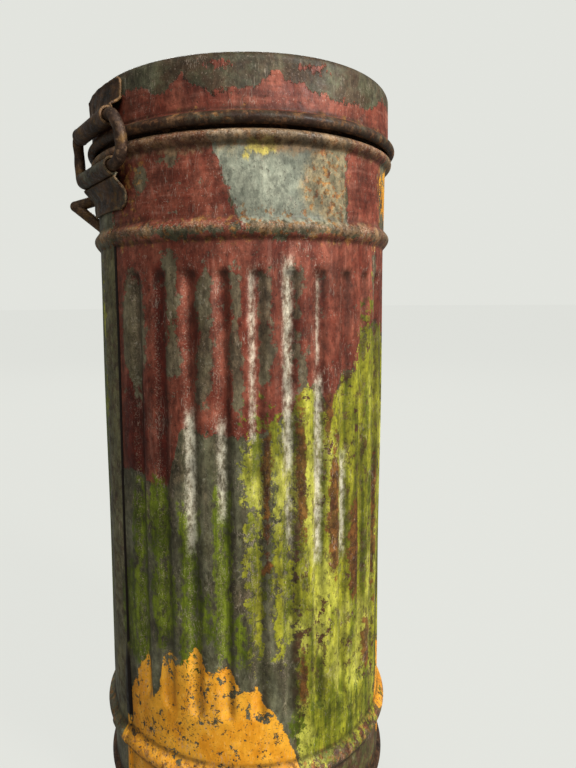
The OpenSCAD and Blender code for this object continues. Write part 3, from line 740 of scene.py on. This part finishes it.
    band = s.ragged(s.field("f_band"), broad, flake, 16.0, 12.0, 1.2)
    band_colour = s.mix(s.step(flake, 0.40, 0.60), (0.105, 0.048, 0.022), (0.280, 0.165, 0.085))
    colour = s.mix(s.math("MULTIPLY", band, 0.72), colour, band_colour)

    # Pale streaks: partly worn bare steel, partly a painted highlight.
    pale = s.ragged(s.field("f_pale"), fine, grit, 1.8, 1.6, 1.25)
    pale = s.math("MULTIPLY", pale, s.step(fine, 0.30, 0.50, 0.55, 1.0))
    pale_colour = s.mix(s.step(fine, 0.35, 0.6), (0.42, 0.35, 0.235), (0.72, 0.67, 0.52))
    colour = s.mix(s.math("MULTIPLY", pale, 0.85), colour, pale_colour)

    fleck = s.step(grit, 0.625, 0.68)
    sparse = s.step(s.noise(80, 4, 0.65, shift=2.2), 0.44, 0.60, 0.12, 1.0)
    fleck = s.math("MULTIPLY", fleck, sparse)
    fleck = s.math("MULTIPLY", fleck, s.math("SUBTRACT", 1.0, s.math("MULTIPLY", orange, 0.8)))
    colour = s.mix(s.math("MULTIPLY", fleck, 0.62), colour, (0.46, 0.33, 0.26))
    # Rubbed wear and painted highlight: tan on the beads' crests and on the flutes' left walls.
    rub = s.math("MULTIPLY", s.field("f_rub_and_highlight"), s.step(grit, 0.50, 0.62))
    colour = s.mix(s.math("MULTIPLY", rub, 0.5), colour, (0.50, 0.37, 0.27))
    lines = s.math("MAXIMUM", s.scratches((1.1, 0.3, 0.2), 520, 0.58, 1.7),
                   s.scratches((-0.9, 0.9, 1.1), 460, 0.58, 4.3))
    lines = s.math("MAXIMUM", lines, s.scratches((0.4, -1.2, 0.4), 600, 0.57, 6.1))
    colour = s.mix(s.math("MULTIPLY", lines, 0.40), colour, (0.46, 0.37, 0.29))
    dirt_and_shade = s.step(s.noise(1100, 3, 0.65, shift=7.0), 0.60, 0.68)
    colour = s.mix(s.math("MULTIPLY", dirt_and_shade, 0.6), colour, (0.030, 0.018, 0.010))
    mottle = s.step(s.noise(95, 6, 0.72, stretch=(1, 1, 0.75), shift=11.0), 0.33, 0.67, 0.55, 1.22)
    plainly = s.math("SUBTRACT", 1.0, s.math("MULTIPLY", orange, 0.75))
    mottle = s.math("ADD", 1.0, s.math("MULTIPLY", s.math("SUBTRACT", mottle, 1.0), plainly))
    colour = s.scale(colour, mottle)
    speckle = s.step(fine, 0.30, 0.66, 0.62, 1.24)
    speckle = s.math("ADD", 1.0, s.math("MULTIPLY", s.math("SUBTRACT", speckle, 1.0), plainly))
    colour = s.scale(colour, speckle)
    # Painted shade: the shade field, broken up by noise, takes the colour near black in creases, along the
    # seam and in the flutes.
    shade_and_grime = s.math("MULTIPLY", s.field("f_dirt_and_shade"), s.step(coarse, 0.30, 0.62, 0.45, 1.25), clamp=True)
    colour = s.mix(s.math("MULTIPLY", shade_and_grime, 0.86), colour, (0.016, 0.010, 0.006))
    rim = s.math("MULTIPLY", s.step(s.field("f_rim"), -0.2, 0.4), s.step(coarse, 0.34, 0.60, 0.95, 0.55))
    colour = s.mix(rim, colour,
                   s.mix(s.step(flake, 0.50, 0.62), (0.028, 0.012, 0.007), (0.150, 0.062, 0.026)))
    # Painted shade along the seam's lapped edge.
    seam_shade = s.step(s.field("f_seam_shade"), -0.15, 0.25)
    colour = s.mix(seam_shade, colour, (0.010, 0.006, 0.004))
    lining = s.mix(s.step(coarse, 0.38, 0.62), (0.150, 0.155, 0.120), (0.250, 0.250, 0.200))
    lining = s.mix(s.step(flake, 0.52, 0.62, 0.0, 0.8), lining, rust)
    colour = s.mix(s.field("f_inside"), colour, lining)
    s.put(s.bsdf.inputs["Base Color"], colour)

    rough = s.step(flake, 0.35, 0.65, 0.42, 0.66)
    rough = s.math("ADD", rough, s.math("MULTIPLY", rusty, 0.2))
    rough = s.math("SUBTRACT", rough, s.math("MULTIPLY", pale, 0.12), clamp=True)
    s.put(s.bsdf.inputs["Roughness"], rough)
    s.put(s.bsdf.inputs["Metallic"], s.math("MULTIPLY", pale, 0.35))
    s.bsdf.inputs["Specular IOR Level"].default_value = 0.2
    coats = s.math("ADD", s.math("MULTIPLY", red, 0.5), s.math("MULTIPLY", orange, 0.8))
    coats = s.math("ADD", coats, s.math("MULTIPLY", lime, 0.5))
    coats = s.math("ADD", coats, s.math("MULTIPLY", fine, 0.55))
    coats = s.math("ADD", coats, s.math("MULTIPLY", rusty, -0.3))
    normal = s.bump(coats, 0.00022, 0.9)
    normal = s.bump(coarse, 0.0009, 0.45, after=normal)
    s.put(s.bsdf.inputs["Normal"], normal)
    return s.mat


def rusty_steel(name, dark, mid, light, metal=0.15, grain=1.0, coat=None):
    """Bare or thinly painted steel gone brown, with pits and rubbed edges."""
    s = Shader(name)
    coarse = s.noise(170 * grain, 5, 0.68)
    fine = s.noise(700 * grain, 5, 0.72)
    grit = s.noise(2200 * grain, 3, 0.6)
    colour = s.mix(s.step(coarse, 0.36, 0.62), dark, mid)
    colour = s.mix(s.step(fine, 0.54, 0.66), colour, light)
    colour = s.mix(s.step(grit, 0.60, 0.68, 0.0, 0.7), colour, tuple(c * 0.35 for c in dark))
    golden = s.step(s.noise(130 * grain, 4, 0.6, shift=3.0), 0.55, 0.66)
    colour = s.mix(s.math("MULTIPLY", golden, 0.55), colour, (0.170, 0.085, 0.018))
    if coat:
        kept = s.step(s.noise(75, 5, 0.7, shift=8.0), 0.47, 0.56)
        colour = s.mix(s.math("MULTIPLY", kept, 0.75), colour, coat)
    colour = s.scale(colour, s.step(s.noise(240, 5, 0.7, shift=1.0), 0.34, 0.66, 0.45, 1.35))
    edge = s.new("NewGeometry").outputs["Pointiness"]
    rub = s.math("MULTIPLY", s.step(edge, 0.51, 0.60), s.step(fine, 0.42, 0.60))
    colour = s.mix(s.math("MULTIPLY", rub, 0.6), colour, (0.30, 0.17, 0.075))
    s.put(s.bsdf.inputs["Base Color"], colour)
    s.bsdf.inputs["Metallic"].default_value = metal
    s.bsdf.inputs["Specular IOR Level"].default_value = 0.3
    s.put(s.bsdf.inputs["Roughness"], s.step(fine, 0.35, 0.65, 0.38, 0.72))
    normal = s.bump(fine, 0.00025, 0.8)
    s.put(s.bsdf.inputs["Normal"], s.bump(coarse, 0.0008, 0.5, after=normal))
    return s.mat


def inner_steel():
    s = Shader("inner_steel")
    coarse = s.noise(60, 4, 0.6)
    fine = s.noise(520, 4, 0.65, stretch=(1, 1, 0.3))
    colour = s.mix(s.step(coarse, 0.38, 0.62), (0.24, 0.235, 0.20), (0.36, 0.35, 0.31))
    colour = s.mix(s.step(fine, 0.56, 0.70, 0.0, 0.8), colour, (0.20, 0.095, 0.035))
    s.put(s.bsdf.inputs["Base Color"], colour)
    s.bsdf.inputs["Metallic"].default_value = 0.7
    s.put(s.bsdf.inputs["Roughness"], s.step(fine, 0.4, 0.65, 0.34, 0.62))
    s.put(s.bsdf.inputs["Normal"], s.bump(fine, 0.0002, 0.6))
    return s.mat


def spring_steel():
    s = Shader("bare_steel")
    fine = s.noise(800, 4, 0.6)
    colour = s.mix(s.step(fine, 0.42, 0.66), (0.36, 0.34, 0.31), (0.17, 0.09, 0.045))
    s.put(s.bsdf.inputs["Base Color"], colour)
    s.bsdf.inputs["Metallic"].default_value = 0.9
    s.put(s.bsdf.inputs["Roughness"], s.step(fine, 0.4, 0.65, 0.28, 0.6))
    s.put(s.bsdf.inputs["Normal"], s.bump(fine, 0.00015, 0.5))
    return s.mat


def lens_glass():
    s = Shader("lens_glass")
    haze = s.noise(160, 4, 0.6)
    s.put(s.bsdf.inputs["Base Color"], s.mix(s.step(haze, 0.4, 0.65), (0.92, 0.90, 0.78), (0.80, 0.77, 0.62)))
    s.put(s.bsdf.inputs["Roughness"], s.step(haze, 0.4, 0.65, 0.05, 0.22))
    s.bsdf.inputs["Transmission Weight"].default_value = 0.85
    s.bsdf.inputs["IOR"].default_value = 1.49
    return s.mat


def wear(obj, mat):
    obj.data.materials.clear()
    obj.data.materials.append(mat)


# ---------------------------------------------------------------- room
PALE = (0.985, 1.0, 0.945, 1)


def plain(name, colour, rough=0.9):
    s = Shader(name)
    s.bsdf.inputs["Base Color"].default_value = (*colour, 1)
    s.bsdf.inputs["Roughness"].default_value = rough
    s.bsdf.inputs["Specular IOR Level"].default_value = 0.1
    return s.mat


def seen_level(tree, low, high):
    """A brightness that is high to the camera and low for what it lights."""
    seen = tree.nodes.new("ShaderNodeLightPath")
    level_of = tree.nodes.new("ShaderNodeMapRange")
    level_of.inputs["To Min"].default_value = low
    level_of.inputs["To Max"].default_value = high
    tree.links.new(seen.outputs["Is Camera Ray"], level_of.inputs["Value"])
    return level_of.outputs["Result"]


def make_room():
    mesh = bpy.data.meshes.new("floor")
    e = 25.0
    mesh.from_pydata([(-e, -e, 0), (e, -e, 0), (e, e, 0), (-e, e, 0)], [], [(0, 1, 2, 3)])
    floor = bpy.data.objects.new("floor", mesh)
    floor.location.z = -0.0002
    bpy.context.scene.collection.objects.link(floor)
    paper = plain("paper", (0.030, 0.030, 0.028))
    glow = paper.node_tree.nodes["Principled BSDF"]
    glow.inputs["Specular IOR Level"].default_value = 0.0
    glow.inputs["Emission Color"].default_value = PALE
    paper.node_tree.links.new(seen_level(paper.node_tree, 0.24, 0.740), glow.inputs["Emission Strength"])
    floor.data.materials.append(paper)
    world = bpy.data.worlds.new("room")
    world.use_nodes = True
    tree = world.node_tree
    back = tree.nodes["Background"]
    back.inputs[0].default_value = PALE
    tree.links.new(seen_level(tree, 0.26, 0.775), back.inputs[1])
    bpy.context.scene.world = world


def lamp(name, theta, distance, height, size, power, colour=(1, 1, 1), aim=0.14):
    data = bpy.data.lights.new(name, "AREA")
    data.shape = "DISK"
    data.size = size
    data.energy = power
    data.color = colour
    obj = bpy.data.objects.new(name, data)
    place = around(theta, distance, height)
    obj.location = place
    obj.rotation_mode = "QUATERNION"
    obj.rotation_quaternion = (Vector((0, 0, aim)) - place).to_track_quat("-Z", "Y")
    bpy.context.scene.collection.objects.link(obj)


# ---------------------------------------------------------------- build
BROWN = ((0.028, 0.014, 0.008), (0.085, 0.040, 0.018), (0.150, 0.085, 0.040))

wall = make_wall()
lid = make_lid()
wear(wall, layered_paint("body_paint", False))
wear(lid, layered_paint("lid_paint", True))

link = make_link()
lid_plate = make_hinge_plate("lid_plate", "lid", "lid_hinge_plate", 59.0, (62.25, 259.2), 272.2, 1,
                             corner=1.3, swell=4.0)
body_plate = make_hinge_plate("body_plate", "body", "body_hinge_plate", 58.2, (61.4, 243.1), 229.2, -1,
                              corner=3.6, swell=6.5)
brown = rusty_steel("rusted_steel", *BROWN)
wire = rusty_steel("rusted_wire", (0.034, 0.018, 0.012), (0.085, 0.045, 0.024), (0.160, 0.095, 0.055), 0.3)
inner = inner_steel()
spring = spring_steel()
glass = lens_glass()
wear(lid_plate, brown)
wear(body_plate, rusty_steel("hinge_paint", *BROWN, coat=(0.100, 0.095, 0.058)))
wear(link, wire)
for n in ("base_pan", "hasp_bracket", "hasp", "catch_plate",
          "catch_nose", "catch_rivets", "loop_plate_left", "loop_plate_right", "loop_plate_low"):
    wear(nodes[n], brown)
for n in ("strap_loop_left", "strap_loop_right", "strap_loop_low", "pull_loop", "hasp_pin"):
    wear(nodes[n], wire)
for n in ("spring_seat", "rest_plate", "lens_cup", "lens_cover", "lens_hinge_leaf", "lens_clip"):
    wear(nodes[n], inner)
for piece in (make_spring(), nodes["lens_hinge_pin"]):
    wear(piece, spring)
wear(nodes["spare_lenses"], glass)

make_room()
lamp("key", 54, 1.1, 0.95, 0.28, 22, (1.0, 0.985, 0.95))
lamp("back", 184, 1.2, 1.0, 0.8, 13, (1.0, 0.99, 0.96))
lamp("front", 2, 1.3, 1.2, 0.7, 10, (1.0, 0.99, 0.96))
aim_camera()
bpy.context.scene.view_settings.view_transform = "Standard"
